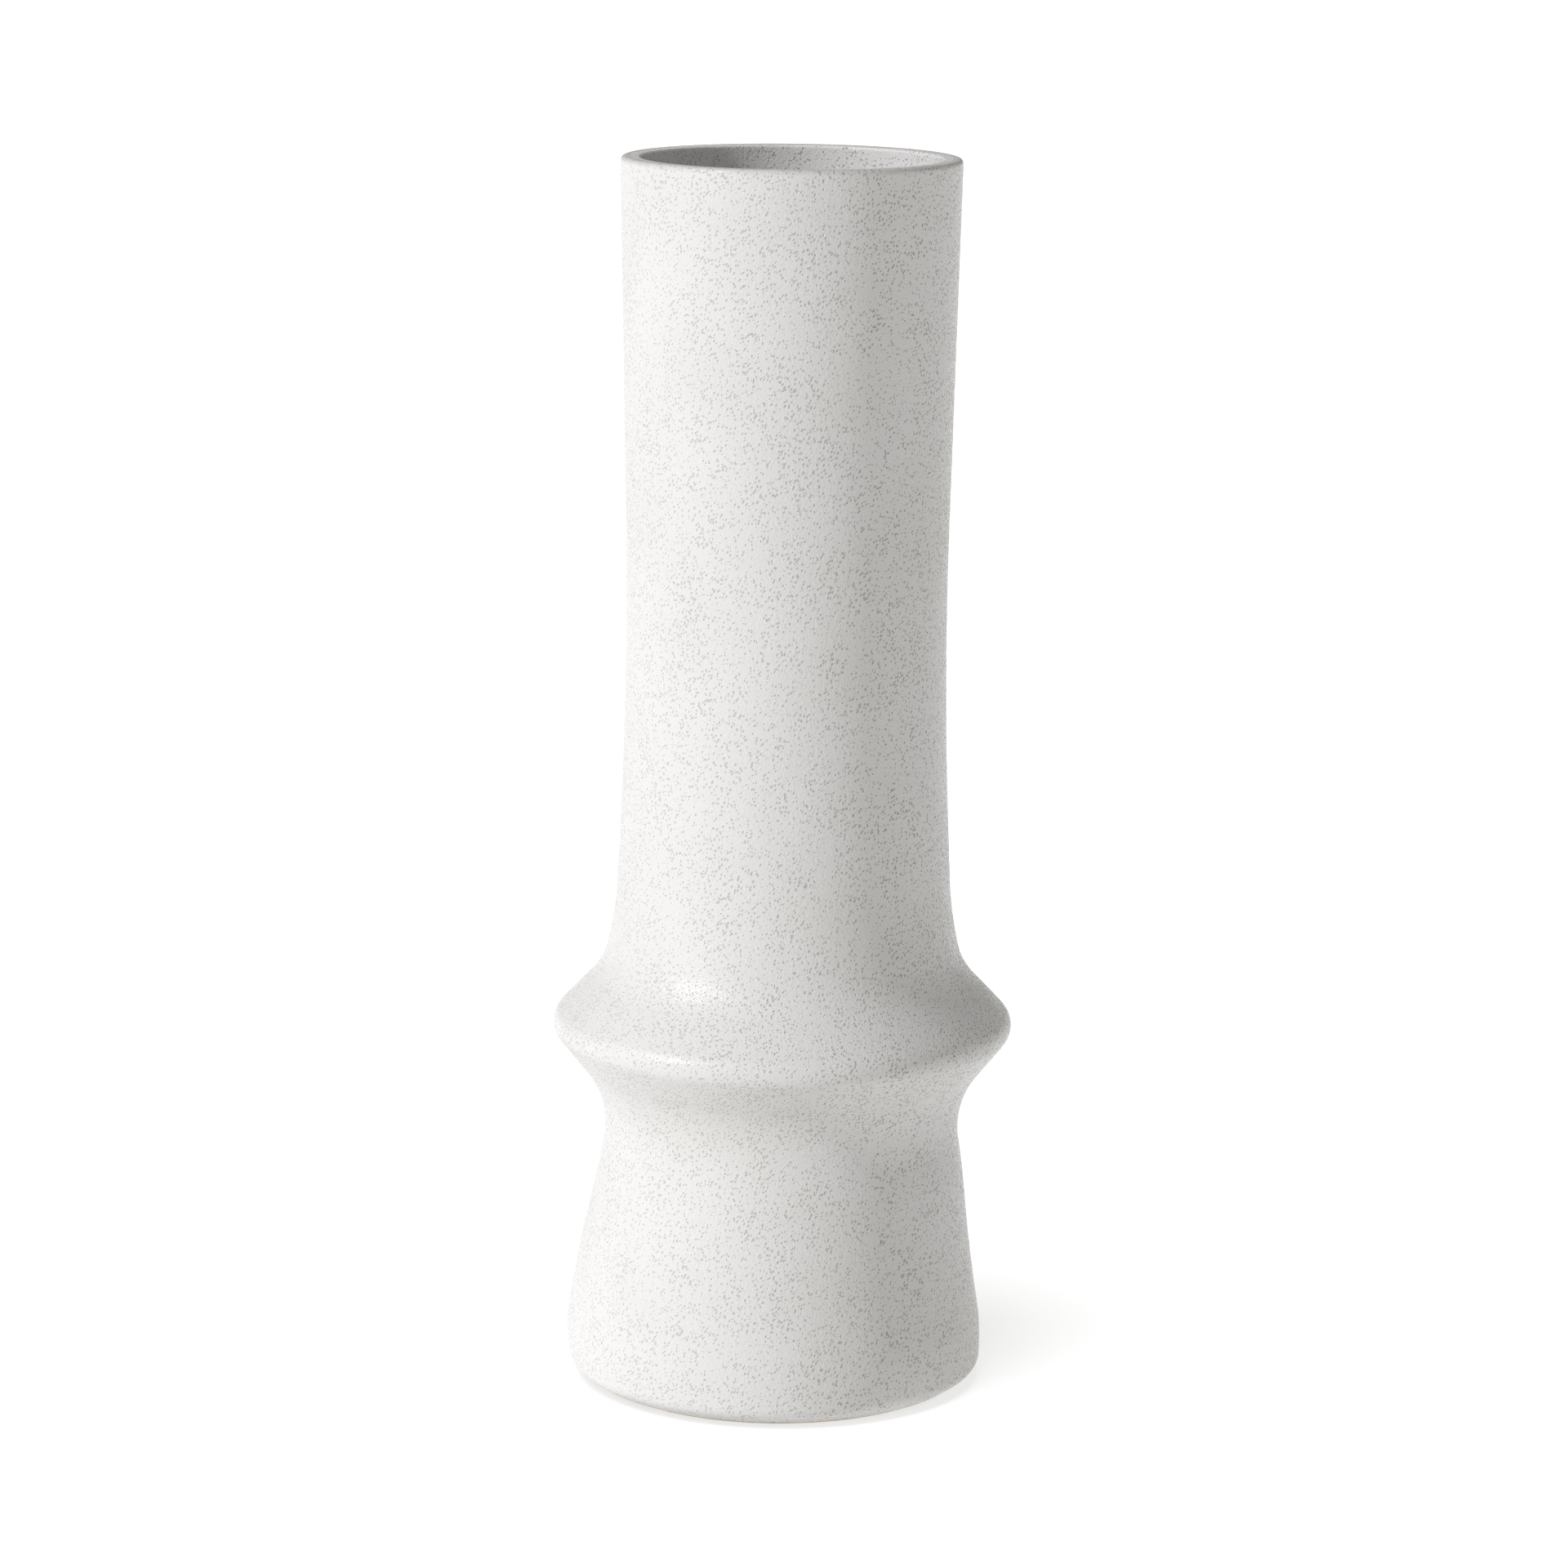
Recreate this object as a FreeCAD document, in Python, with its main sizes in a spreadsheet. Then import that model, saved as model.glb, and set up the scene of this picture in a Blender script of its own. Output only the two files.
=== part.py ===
"""Stoneware vase: thrown sections luted together with slip, then glazed inside and out.

Every piece is a ring or a disc about the upright axis: a closed half section in a
PartDesign body of its own, revolved through a full turn. The outline of the glazed vase
is a chain of round stretches joined by tangent straight ones. The clay, the inside of
the wall and both coats of glaze use the same centres with larger or smaller radii, so
every coat keeps its thickness from the foot to the lip.

Millimetres, +Z up, origin at the middle of the foot, on the surface that it stands on.
"""

import FreeCAD
import Part
import Sketcher
import math
import os

# The driving dimensions in millimetres: alias, value, meaning.
SIZES = [
    ("total_height", 406.0, "table to top of lip"),
    ("glaze_coat", 0.5, "thickness of one coat of glaze"),
    ("clay_wall", 5.4, "thickness of the thrown wall"),
    ("slip_layer", 0.4, "thickness of the slip in a luted joint"),
    ("joint_step", 2.0, "height of the tongue in a stepped joint"),
    ("foot_reach", 59.5, "foot edge, centre from the axis"),
    ("foot_round", 1.5, "foot edge, radius over the glaze"),
    ("foot_height", 5.2, "height of the turned foot ring"),
    ("foot_width", 10.0, "width of the flat face that the vase stands on"),
    ("bare_band", 1.2, "height of the bare clay above the table"),
    ("floor_reach", 61.3, "radius of the floor disc"),
    ("floor_thick", 6.0, "thickness of the floor disc"),
    ("coil_round", 7.0, "coil in the inside corner, hollow radius"),
    ("heel_reach", 63.4, "heel, centre from the axis"),
    ("heel_level", 8.0, "heel, centre above the table"),
    ("heel_round", 5.2, "heel, radius over the glaze"),
    ("belly_reach", 21.0, "base swell, centre from the axis"),
    ("belly_level", 15.4, "base swell, centre above the table"),
    ("belly_round", 48.0, "base swell, radius over the glaze"),
    ("waist_reach", 90.7, "waist, centre from the axis"),
    ("waist_level", 85.3, "waist, centre above the table"),
    ("waist_round", 32.0, "waist, hollow radius over the glaze"),
    ("collar_reach", 69.0, "collar, centre from the axis"),
    ("collar_level", 120.2, "collar, centre above the table"),
    ("collar_round", 6.8, "collar, radius over the glaze"),
    ("bend_reach", 82.3, "shoulder bend, centre from the axis"),
    ("bend_level", 152.3, "shoulder bend, centre above the table"),
    ("bend_round", 25.0, "shoulder bend, hollow radius over the glaze"),
    ("flare_reach", 172.8, "neck flare, centre from the axis"),
    ("flare_level", 174.1, "neck flare, centre above the table"),
    ("flare_round", 118.0, "neck flare, hollow radius over the glaze"),
    ("neck_reach", 1552.5, "long neck curve, centre from the axis"),
    ("neck_level", 256.7, "long neck curve, centre above the table"),
    ("neck_round", 1500.0, "long neck curve, hollow radius over the glaze"),
    ("lip_reach", 51.9, "lip, centre from the axis"),
]

# The round stretches from the bottom up. +1 bulges away from the axis, -1 is hollow.
SIDE = {"foot": 1, "heel": 1, "coil": 1, "belly": 1, "waist": -1,
        "collar": 1, "bend": -1, "flare": -1, "neck": -1, "lip": 1}
WALL = ["belly", "waist", "collar", "bend", "flare", "neck", "lip"]
OUTSIDE = ["foot", "heel"] + WALL
INSIDE = ["coil"] + WALL

# How far each surface lies under the glazed outside.
GLAZED = "0"
CLAY = "Sizes.glaze_coat"
CLAY_INSIDE = "(Sizes.glaze_coat + Sizes.clay_wall)"
GLAZED_INSIDE = "(2 * Sizes.glaze_coat + Sizes.clay_wall)"

LIP_ROUND = "(Sizes.glaze_coat + Sizes.clay_wall / 2)"
FOOT_INNER = "(Sizes.foot_reach - Sizes.foot_width)"
SEAT = "(Sizes.foot_height + Sizes.slip_layer)"
FLOOR_TOP = "(%s + Sizes.floor_thick)" % SEAT

# The coil in the inside corner touches the floor and the inside of the base swell.
COIL_LEVEL = "(%s + Sizes.coil_round)" % FLOOR_TOP
COIL_REACH = "(Sizes.belly_reach + sqrt((%s)^2 - (%s)^2))" % (
    "Sizes.belly_round - %s - Sizes.coil_round" % CLAY_INSIDE,
    "%s - Sizes.belly_level" % COIL_LEVEL)

document = FreeCAD.newDocument("StonewareVase")
sheet = document.addObject("Spreadsheet::Sheet", "Sizes")
for row, (alias, value, meaning) in enumerate(SIZES, start=1):
    sheet.set("A%d" % row, meaning)
    sheet.set("B%d" % row, str(value))
    sheet.setAlias("B%d" % row, alias)
document.recompute()


def size(expression):
    """The value of an expression written in the sheet's aliases."""
    return float(sheet.evalExpression(expression.replace("Sizes.", "")))


def centre(name):
    """The expressions for a round stretch's centre: from the axis, above the table."""
    if name == "coil":
        return COIL_REACH, COIL_LEVEL
    level = {
        "foot": "Sizes.foot_round - Sizes.glaze_coat",
        "lip": "Sizes.total_height - %s" % LIP_ROUND,
    }
    return "Sizes.%s_reach" % name, level.get(name, "Sizes.%s_level" % name)


def radius(name, depth):
    """The expression for a round stretch's radius at a depth, negative where hollow."""
    if name == "lip":
        return "%s - %s" % (LIP_ROUND, depth)
    if name == "coil":
        return "Sizes.coil_round + %s - %s" % (CLAY_INSIDE, depth)
    if SIDE[name] > 0:
        return "Sizes.%s_round - %s" % (name, depth)
    return "-Sizes.%s_round - %s" % (name, depth)


class Arc:
    """Part of a round stretch, between two directions of the outward normal."""

    def __init__(self, name, depth):
        self.name = name
        self.across, self.level = centre(name)
        self.radius = radius(name, depth)
        self.middle = FreeCAD.Vector(size(self.across), size(self.level), 0)
        self.signed = size(self.radius)
        self.start = math.copysign(math.pi / 2, -self.signed)
        self.stop = math.copysign(math.pi / 2, self.signed)

    def point(self, angle):
        """The point of the stretch where the outward normal has this direction."""
        return self.middle + polar(self.signed, angle)

    def angle_at(self, level):
        """The direction of the outward normal at a level above the table."""
        return math.asin((level - self.middle.y) / self.signed)

    def levels(self):
        return self.point(self.start).y, self.point(self.stop).y

    def clipped(self, low, high):
        piece = Arc.__new__(Arc)
        piece.__dict__.update(self.__dict__)
        if low > self.levels()[0]:
            piece.start = self.angle_at(low)
        if high < self.levels()[1]:
            piece.stop = self.angle_at(high)
        return piece

    def reversed(self):
        piece = Arc.__new__(Arc)
        piece.__dict__.update(self.__dict__)
        piece.start, piece.stop = self.stop, self.start
        return piece


class Line:
    """A straight stretch, tangent to the two round ones that it joins."""

    def __init__(self, below, above):
        self.arcs = (below, above)
        self.first = below.point(below.stop)
        self.last = above.point(above.start)

    def levels(self):
        return self.first.y, self.last.y

    def clipped(self, low, high):
        piece = Line.__new__(Line)
        piece.arcs = self.arcs
        piece.first = self.at(max(low, self.first.y))
        piece.last = self.at(min(high, self.last.y))
        return piece

    def at(self, level):
        share = (level - self.first.y) / (self.last.y - self.first.y)
        return self.first + (self.last - self.first) * share

    def reversed(self):
        piece = Line.__new__(Line)
        piece.arcs = self.arcs
        piece.first, piece.last = self.last, self.first
        return piece


def polar(length, angle):
    return FreeCAD.Vector(length * math.cos(angle), length * math.sin(angle), 0)


def shared_normal(below, above):
    """The direction of the outward normal where two round stretches are joined."""
    run = above.middle - below.middle
    if below.name == "coil":
        return math.atan2(-run.y, -run.x)
    lean = math.asin((below.signed - above.signed) / run.Length)
    return math.remainder(math.atan2(run.y, run.x) - math.pi / 2 + lean, math.tau)


def surface(names, depth):
    """Every stretch of one surface in order, from its lowest level to its highest."""
    arcs = [Arc(name, depth) for name in names]
    for below, above in zip(arcs, arcs[1:]):
        below.stop = above.start = shared_normal(below, above)
    stretches = [arcs[0]]
    for below, above in zip(arcs, arcs[1:]):
        straight = [] if below.name == "coil" else [Line(below, above)]
        stretches += straight + [above]
    return stretches


def between(names, depth, low, high):
    """The stretches of a surface between two levels, cut off at those levels."""
    low, high = size(low), size(high)
    kept = []
    for stretch in surface(names, depth):
        bottom, top = stretch.levels()
        if top > low and bottom < high:
            kept.append(stretch.clipped(low, high))
    return kept


def downward(stretches):
    return [stretch.reversed() for stretch in reversed(stretches)]


class Run:
    """Tangent stretches drawn end to end, with each free end held at a size."""

    def __init__(self, stretches, first_at, last_at):
        self.stretches = stretches
        self.holds = (first_at, last_at)


class Corner:
    """A sharp corner of an outline, held from the axis and above the table."""

    def __init__(self, across, level):
        self.across = across
        self.level = level
        self.place = FreeCAD.Vector(size(across), size(level), 0)


def level_at(expression):
    return ("DistanceY", expression)


# An end of a round stretch straight above or below its own centre.
PLUMB = ("Vertical", "")


class Section:
    """The half section of one piece: a body whose sketch is bound to the sheet."""

    AXIS = -2
    ORIGIN = (-1, 1)

    def __init__(self, label):
        self.body = document.addObject("PartDesign::Body", label)
        self.body.Label = label
        self.sketch = self.body.newObject("Sketcher::SketchObject", label + "_section")
        upright = next(plane for plane in self.body.Origin.OriginFeatures
                       if plane.Role == "XZ_Plane")
        self.sketch.AttachmentSupport = [(upright, "")]
        self.sketch.MapMode = "FlatFace"

    def constrain(self, *arguments):
        return self.sketch.addConstraint(Sketcher.Constraint(*arguments))

    def bind(self, expression, *arguments):
        """Add a constraint whose value follows an expression."""
        index = self.constrain(*arguments, size(expression))
        self.sketch.setExpression("Constraints[%d]" % index, expression)

    def hold(self, index, vertex, kind, expression):
        """Hold one end of a stretch: plumb, from the axis, or above the table."""
        if kind == "Vertical":
            self.constrain(kind, index, vertex, index, 3)
        elif size(expression) == 0:
            self.constrain("PointOnObject", index, vertex, self.AXIS if kind == "DistanceX" else -1)
        else:
            self.bind(expression, kind, *self.ORIGIN, index, vertex)

    def draw_arc(self, arc):
        """Draw a round stretch and return its index, first vertex and last vertex."""
        turned = 0 if arc.signed > 0 else math.pi
        low, high = sorted((arc.start, arc.stop))
        circle = Part.Circle(arc.middle, FreeCAD.Vector(0, 0, 1), abs(arc.signed))
        index = self.sketch.addGeometry(Part.ArcOfCircle(circle, low + turned, high + turned))
        self.bind_circle(index, arc)
        return (index, 1, 2) if arc.start < arc.stop else (index, 2, 1)

    def bind_circle(self, index, arc):
        """Bind centre and radius, but leave the coil to slide until it touches."""
        if arc.name != "coil":
            self.bind(arc.across, "DistanceX", *self.ORIGIN, index, 3)
        self.bind(arc.level, "DistanceY", *self.ORIGIN, index, 3)
        sign = "" if arc.signed > 0 else "-"
        self.bind("%s(%s)" % (sign, arc.radius), "Radius", index)

    def draw_line(self, first, last):
        index = self.sketch.addGeometry(Part.LineSegment(first, last))
        return index, 1, 2

    def guide(self, line_index, arc):
        """Keep a cut-off straight stretch tangent to a round one that isn't drawn."""
        circle = Part.Circle(arc.middle, FreeCAD.Vector(0, 0, 1), abs(arc.signed))
        index = self.sketch.addGeometry(circle, True)
        self.bind_circle(index, arc)
        self.constrain("Tangent", line_index, index)

    def draw_run(self, run):
        """Draw a run's stretches, tangent end to end, and hold its two free ends."""
        drawn = []
        names = [piece.name for piece in run.stretches if isinstance(piece, Arc)]
        for piece in run.stretches:
            if isinstance(piece, Arc):
                drawn.append(self.draw_arc(piece))
            else:
                drawn.append(self.draw_line(piece.first, piece.last))
                for arc in piece.arcs:
                    if arc.name not in names:
                        self.guide(drawn[-1][0], arc)
        for before, after in zip(drawn, drawn[1:]):
            self.constrain("Tangent", before[0], before[2], after[0], after[1])
        (first, first_vertex, _), (last, _, last_vertex) = drawn[0], drawn[-1]
        if run.holds[0]:
            self.hold(first, first_vertex, *run.holds[0])
        if run.holds[1]:
            self.hold(last, last_vertex, *run.holds[1])
        return (first, first_vertex), (last, last_vertex)

    def ends(self, item):
        """Where an outline's item begins and ends."""
        if isinstance(item, Corner):
            return item.place, item.place
        points = []
        for piece, which in ((item.stretches[0], "first"), (item.stretches[-1], "last")):
            if isinstance(piece, Arc):
                points.append(piece.point(piece.start if which == "first" else piece.stop))
            else:
                points.append(getattr(piece, which))
        return points

    def draw(self, items):
        """Draw a closed outline through its runs and corners, in order."""
        joined = [self.draw_run(item) if isinstance(item, Run) else None for item in items]
        links = []
        for index in range(len(items)):
            following = (index + 1) % len(items)
            start = self.ends(items[index])[1]
            stop = self.ends(items[following])[0]
            links.append(self.draw_line(start, stop)[0])
        for index, item in enumerate(items):
            before, after = links[index - 1], links[index]
            if isinstance(item, Run):
                first, last = joined[index]
                self.constrain("Coincident", before, 2, *first)
                self.constrain("Coincident", after, 1, *last)
            else:
                self.constrain("Coincident", before, 2, after, 1)
                self.hold(after, 1, "DistanceX", item.across)
                self.hold(after, 1, "DistanceY", item.level)

    def revolve(self):
        """Turn the section once about the vase's axis."""
        ring = self.body.newObject("PartDesign::Revolution", self.body.Label + "_turn")
        ring.Profile = self.sketch
        ring.ReferenceAxis = (self.sketch, ["V_Axis"])
        ring.Angle = 360
        self.sketch.Visibility = False
        return self.body


class Joint:
    """A stepped, luted joint across the wall: levels and reaches of its tongue.

    The lower piece carries the tongue on its inner half. The slip fills the gap between
    the two pieces: flat, up the side of the tongue, and flat again.
    """

    def __init__(self, name):
        middle = "Sizes.%s_level" % name
        sign = "+" if SIDE[name] > 0 else "-"
        half = "(Sizes.joint_step + Sizes.slip_layer) / 2"
        self.outer_below = "(%s - %s)" % (middle, half)
        self.outer_above = "(%s + Sizes.slip_layer)" % self.outer_below
        self.inner_below = "(%s + Sizes.joint_step)" % self.outer_below
        self.inner_above = "(%s + Sizes.slip_layer)" % self.inner_below
        self.tongue = "(Sizes.%s_reach %s Sizes.%s_round - %s - Sizes.clay_wall / 2)" % (
            name, sign, name, CLAY)
        self.groove = "(%s + Sizes.slip_layer)" % self.tongue


def outside(low, high, depth=CLAY):
    """The outside of the wall between two levels, drawn upward."""
    return Run(between(OUTSIDE, depth, low, high), level_at(low), level_at(high))


def inside(low, high, names=WALL):
    """The bare inside of the wall between two levels, drawn downward."""
    stretches = between(names, CLAY_INSIDE, low, high)
    return Run(downward(stretches), level_at(high), level_at(low))


def ring(label, items):
    section = Section(label)
    section.draw(items)
    return section.revolve()


def foot_ring():
    """The turned ring that the vase stands on, with a rounded outer edge."""
    edge = between(OUTSIDE, CLAY, "0", "Sizes.foot_height")
    return ring("foot_ring", [
        Run(edge, PLUMB, level_at("Sizes.foot_height")),
        Corner(FOOT_INNER, "Sizes.foot_height"),
        Corner(FOOT_INNER, "0"),
    ])


def foot_slip():
    """The flat layer of slip between the foot ring and what stands on it."""
    return ring("foot_slip", [
        outside("Sizes.foot_height", SEAT),
        Corner(FOOT_INNER, SEAT),
        Corner(FOOT_INNER, "Sizes.foot_height"),
    ])


def floor_disc():
    """The floor of the vase, inside the bottom of the wall."""
    return ring("floor_disc", [
        Corner("0", SEAT),
        Corner("Sizes.floor_reach", SEAT),
        Corner("Sizes.floor_reach", FLOOR_TOP),
        Corner("0", FLOOR_TOP),
    ])


def floor_slip():
    """The slip between the floor's rim and the wall around it."""
    return ring("floor_slip", [
        inside(SEAT, FLOOR_TOP),
        Corner("Sizes.floor_reach", SEAT),
        Corner("Sizes.floor_reach", FLOOR_TOP),
    ])


def corner_coil():
    """The coil of clay pressed into the corner between the floor and the wall."""
    coil, wall = surface(INSIDE, CLAY_INSIDE)[:2]
    wall.stop = wall.start
    wall.start = wall.angle_at(size(FLOOR_TOP))
    return ring("corner_coil", [
        Run([wall, coil.reversed()], level_at(FLOOR_TOP), PLUMB),
    ])


def base_section(top):
    """The flared lower wall, from the foot ring to the waist."""
    return ring("base_section", [
        outside(SEAT, top.outer_below),
        Corner(top.tongue, top.outer_below),
        Corner(top.tongue, top.inner_below),
        inside(SEAT, top.inner_below),
    ])


def wall_section(label, bottom, top):
    """A stretch of wall with a groove at the bottom and a tongue at the top."""
    return ring(label, [
        outside(bottom.outer_above, top.outer_below),
        Corner(top.tongue, top.outer_below),
        Corner(top.tongue, top.inner_below),
        inside(bottom.inner_above, top.inner_below),
        Corner(bottom.groove, bottom.inner_above),
        Corner(bottom.groove, bottom.outer_above),
    ])


def joint_slip(label, joint):
    """The stepped layer of slip in a joint across the wall."""
    return ring(label, [
        outside(joint.outer_below, joint.outer_above),
        Corner(joint.groove, joint.outer_above),
        Corner(joint.groove, joint.inner_above),
        inside(joint.inner_below, joint.inner_above),
        Corner(joint.tongue, joint.inner_below),
        Corner(joint.tongue, joint.outer_below),
    ])


def around_lip(depth_out, depth_in, low_out, low_in):
    """Up the outside, over the lip and down the inside, as one run."""
    up = between(OUTSIDE, depth_out, low_out, "Sizes.total_height")
    down = downward(between(WALL, depth_in, low_in, "Sizes.total_height"))
    over = up[-1]
    over.stop = over.start + math.pi
    return Run(up + down[1:], level_at(low_out), level_at(low_in))


def neck_section(bottom):
    """The tall neck, thrown with a rounded lip."""
    return ring("neck_section", [
        around_lip(CLAY, CLAY_INSIDE, bottom.outer_above, bottom.inner_above),
        Corner(bottom.groove, bottom.inner_above),
        Corner(bottom.groove, bottom.outer_above),
    ])


def glaze_outside():
    """The outer coat of glaze, from the bare band at the foot to the crest of the lip."""
    low, high = "Sizes.bare_band", "Sizes.total_height"
    return ring("glaze_outside", [
        Run(between(OUTSIDE, GLAZED, low, high), level_at(low), PLUMB),
        Run(downward(between(OUTSIDE, CLAY, low, high)), PLUMB, level_at(low)),
    ])


def glaze_inside():
    """The inner coat of glaze, from the crest of the lip to the middle of the floor."""
    return ring("glaze_inside", [
        Run(surface(INSIDE, CLAY_INSIDE), PLUMB, PLUMB),
        Run(downward(surface(INSIDE, GLAZED_INSIDE)), PLUMB, PLUMB),
        Corner("0", "%s + Sizes.glaze_coat" % FLOOR_TOP),
        Corner("0", FLOOR_TOP),
    ])


waist_joint = Joint("waist")
collar_joint = Joint("collar")
neck_joint = Joint("flare")

pieces = [
    foot_ring(),
    foot_slip(),
    floor_disc(),
    floor_slip(),
    corner_coil(),
    base_section(waist_joint),
    joint_slip("waist_slip", waist_joint),
    wall_section("collar_underside", waist_joint, collar_joint),
    joint_slip("collar_slip", collar_joint),
    wall_section("collar_shoulder", collar_joint, neck_joint),
    joint_slip("neck_slip", neck_joint),
    neck_section(neck_joint),
    glaze_outside(),
    glaze_inside(),
]
document.recompute()

for item in document.Objects:
    failed = [state for state in item.State if state in ("Invalid", "Error")]
    if failed:
        raise RuntimeError("%s is %s" % (item.Name, failed))

os.makedirs("parts", exist_ok=True)
for piece in pieces:
    shape = piece.Shape
    if shape.isNull() or not shape.isValid() or len(shape.Solids) != 1:
        raise RuntimeError("%s has no valid solid" % piece.Label)
    shape.exportStep("parts/%s.step" % piece.Label)
    print("%-18s %9.0f mm3" % (piece.Label, shape.Volume))
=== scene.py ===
"""Stoneware vase: glaze, clay and studio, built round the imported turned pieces."""

import bmesh
import bpy
import numpy as np
from mathutils import Matrix, Vector


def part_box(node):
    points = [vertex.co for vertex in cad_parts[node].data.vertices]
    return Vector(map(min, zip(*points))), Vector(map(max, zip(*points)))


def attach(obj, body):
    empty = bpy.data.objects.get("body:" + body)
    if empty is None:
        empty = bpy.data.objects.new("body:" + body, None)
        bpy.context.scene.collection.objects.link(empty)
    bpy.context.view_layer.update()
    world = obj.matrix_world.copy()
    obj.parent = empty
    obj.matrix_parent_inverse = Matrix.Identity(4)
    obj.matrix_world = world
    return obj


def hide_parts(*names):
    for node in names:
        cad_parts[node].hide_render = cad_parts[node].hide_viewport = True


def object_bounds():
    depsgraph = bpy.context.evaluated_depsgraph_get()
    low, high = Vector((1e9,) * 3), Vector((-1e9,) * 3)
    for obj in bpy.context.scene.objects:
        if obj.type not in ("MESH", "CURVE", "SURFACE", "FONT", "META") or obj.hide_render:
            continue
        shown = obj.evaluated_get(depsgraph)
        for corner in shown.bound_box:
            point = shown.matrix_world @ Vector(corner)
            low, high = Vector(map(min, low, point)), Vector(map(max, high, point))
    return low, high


bl_info = {
    "name": "Stoneware Vase",
    "version": (1, 0, 0),
    "blender": (4, 5, 0),
    "location": "3D View > Sidebar > Vase",
    "description": "Builds a thrown and glazed stoneware vase over its turned pieces",
    "category": "Object",
}

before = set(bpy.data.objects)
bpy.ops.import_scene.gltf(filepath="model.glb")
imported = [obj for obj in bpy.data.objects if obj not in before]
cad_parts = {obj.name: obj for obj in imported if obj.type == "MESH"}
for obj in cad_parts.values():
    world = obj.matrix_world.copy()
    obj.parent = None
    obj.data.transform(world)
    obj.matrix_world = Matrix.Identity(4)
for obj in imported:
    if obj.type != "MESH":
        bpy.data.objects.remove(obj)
CAD_LOW, CAD_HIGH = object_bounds()
MM = 0.001

HIDDEN_CLAY = ("base_section", "collar_underside", "collar_shoulder", "neck_section",
               "corner_coil")
SLIP_LAYERS = ("foot_slip", "floor_slip", "waist_slip", "collar_slip", "neck_slip")

# The round stretches of the outline from the foot up. +1 bulges, -1 is hollow.
SIDE = {"foot": 1, "heel": 1, "coil": 1, "belly": 1, "waist": -1,
        "collar": 1, "bend": -1, "flare": -1, "neck": -1, "lip": 1}
WALL = ("belly", "waist", "collar", "bend", "flare", "neck", "lip")

# How fine the meshes are.
LIP_TURN = np.radians(2.5)    # most that the outline turns between two rows of the lip
OTHER_TURN = np.radians(7)    # and between two rows anywhere else
SAME_POINT = 0.001 * MM       # points nearer than this are one point
SHARP = np.radians(30)        # an edge that turns more than this is shaded sharp

# How the hand-thrown wall strays from the true turned shape. Lengths are in metres.
SWAY_END = 0.9                # the sway ends at this share of the waist's level
FULL_SWAY = 0.018             # level from which the base has its full sway
FOOT_SWAY = 0.62              # share of the sway that the foot has
OVAL_START = 1.1              # turn of the oval wave at the table, in radians
OVAL_CLIMB = 0.11             # how far the oval wave climbs in one radian of its phase
LOBED_CLIMB = 0.07            # the same for the three-lobed wave, which turns back
LOBED_SHARE = 0.6             # height of that wave, next to the oval one
FINGER_CLIMB = 0.0085         # how far the finger marks climb in one turn
FINGER_SHARE = 0.25           # height of the finger marks, next to the oval wave
STEADY_FOOT = 0.006           # level below which the wall strays less
STEADY_MIDDLE = 0.03          # distance from the axis within which the floor strays less

# Where the patterns of the glaze start and stop. Noise runs from 0 to 1, mostly near 0.5.
WAVER_SCALE = 0.45            # wavers of the pits' places in one pit spacing
WAVER_REACH = 0.4             # how far they move a pit, in pit spacings
PIT_TALLNESS = 1.35           # height of a pit over its width
PIT_REACH = (0.18, 0.37)      # a pit's radius, smallest and largest, in pit spacings
CLOUD_NOISE = (0.36, 0.58)    # noise where pits are sparse and where they crowd
CLOUD_GROWTH = (0.70, 1.05)   # how the pits grow between those two
PIT_COLOUR = (-0.04, 0.07)    # how far inside a pit its colour starts and is full
PIT_HOLLOW = (-0.06, 0.09)    # how far inside a pit its hollow starts and is full
THIN_NOISE = (0.4, 0.7)       # noise where the coat starts to thin and is thinnest
# The pits' colour is partly painted shade: faint at -X, where the key light falls, and strong at
# +X, in the shade.
PIT_SHADE_PLACE = (-50 * MM, 40 * MM)    # stretch of X over which the pits' colour gains
PIT_SHADE_STRENGTH = (0.22, 0.88)        # strength of the pits' colour at its two ends
LIP_BREAK = (0.6 * MM, 2.5 * MM)    # heights over the lip's centre that it breaks over
FLECK_NOISE = (0.48, 0.58)          # noise at the edge of a glassy fleck and well in it
FLECK_ROUGHNESS = (0.46, 0.11)      # roughness of the satin ground and of a fleck
THIN_ROUGHNESS = 0.05               # what thin glaze adds to it
PIT_ROUGHNESS = 0.15                # what the inside of a pit adds to it

# The same for the bare clay, and its relief.
TOAST_NOISE = (0.35, 0.75)    # noise where the toasting starts and is full
GRIT_RARITY = 0.86            # share of the scattered points that have no grain of grit
GRIT_EDGE = (0.34, 0.2)       # a grain's edge and its solid part, in grit spacings
GRAIN_HEIGHT = 0.25 * MM
RING_HEIGHT = 0.03 * MM
CLAY_ROUGHNESS = (0.75, 0.15)       # least, and what the grain adds
TURNED_STEP = 1.9 * MM              # from one ring of the turning tool to the next
THROWN_STEP = 4.0 * MM              # from one throwing mark to the next

# Inputs and output of a Mix node that mixes colours.
COLOUR_A, COLOUR_B, COLOUR_RESULT = 6, 7, 2

WHITE = "#FFFFFF"
TABLE_GLOW = 0.66             # emission that makes the table an even white
SURROUND_STRENGTH = 0.43
TABLE_HALF = 40.0             # half the table's side, in metres, past what is in view

# A long lens a little above the lip, in metres, millimetres and degrees.
CAMERA_PLACE = (-0.0003, -1.7367, 0.5431)
CAMERA_DOWN = 11.174
CAMERA_ROLL = 0.641
CAMERA_LENS = 123.67
CAMERA_SENSOR = 36.0
CAMERA_SIGHT = 200.0          # how far it sees, which takes in the whole table


def stretch(name, reach, level, roundness):
    """A property for one round stretch: centre from the axis, its level, its radius."""
    return bpy.props.FloatVectorProperty(
        name=name, size=3, unit="LENGTH", precision=4,
        description="Distance of the centre from the axis, its height, and the radius",
        default=(reach * MM, level * MM, roundness * MM))


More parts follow.
